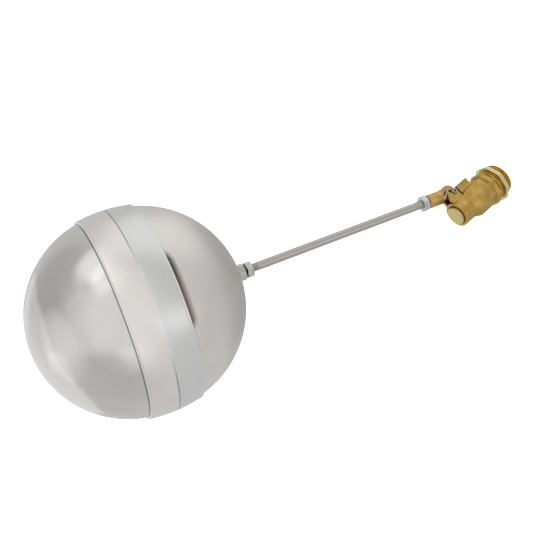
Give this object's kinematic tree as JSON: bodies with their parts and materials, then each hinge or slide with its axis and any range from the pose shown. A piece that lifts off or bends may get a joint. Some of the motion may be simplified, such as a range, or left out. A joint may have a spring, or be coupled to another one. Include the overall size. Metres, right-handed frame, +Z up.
{
  "type": "float valve",
  "caption": "Brass float valve with a stainless ball float on a threaded rod, a pivoting lever, a sliding piston and a male inlet thread with backnut.",
  "frame": {"origin": "centre of the body collar's outer face, on the inlet axis, where the collar meets the thread's runout groove", "axes": "+X out of the inlet thread towards the supply pipe, +Z up as installed, the float lies towards -X, Y along the lever pivot"},
  "size_m": [0.4614, 0.1842, 0.2335],
  "materials": {
    "cast_brass": "fine cast, satin",
    "machined_brass": "turned, bright",
    "pale_brass": "faced, matt",
    "lever_brass": "satin",
    "satin_steel": "satin pressed",
    "band_steel": "fine ground",
    "rod_steel": "drawn and brushed",
    "nut_steel": "cold formed",
    "weld_steel": "ground weld",
    "black_rubber": "moulded"
  },
  "bodies": {
    "valve": {"valve_body": "cast_brass", "backnut": "pale_brass", "seat_nozzle": "machined_brass", "seat_gasket": "black_rubber", "split_pin": "nut_steel"},
    "piston_group": {"piston": "pale_brass", "piston_seal": "black_rubber", "seal_retainer": "machined_brass"},
    "lever_arm": {"lever": "lever_brass", "float_rod": "rod_steel", "lever_locknut": "nut_steel", "float_locknut": "nut_steel", "float_boss": "nut_steel", "boss_weld": "weld_steel", "boss_plate": "satin_steel", "float_shell_near": "satin_steel", "float_shell_far": "satin_steel", "float_band_near": "band_steel", "float_band_far": "band_steel", "float_seam": "weld_steel"}
  },
  "joints": [
    {"name": "lever_pivot", "type": "hinge", "parent": "valve", "child": "lever_arm", "pos_m": [-0.038, 0, -0.021], "axis": [0, 1, 0], "range_deg": [0, 20]},
    {"name": "piston_slide", "type": "slide", "parent": "valve", "child": "piston_group", "axis": [1, 0, 0], "range_m": [0, 0.0065]}
  ],
  "couplings": [
    {"joint": "piston_slide", "follows": "lever_pivot", "m_per_rad": 0.01841}
  ]
}
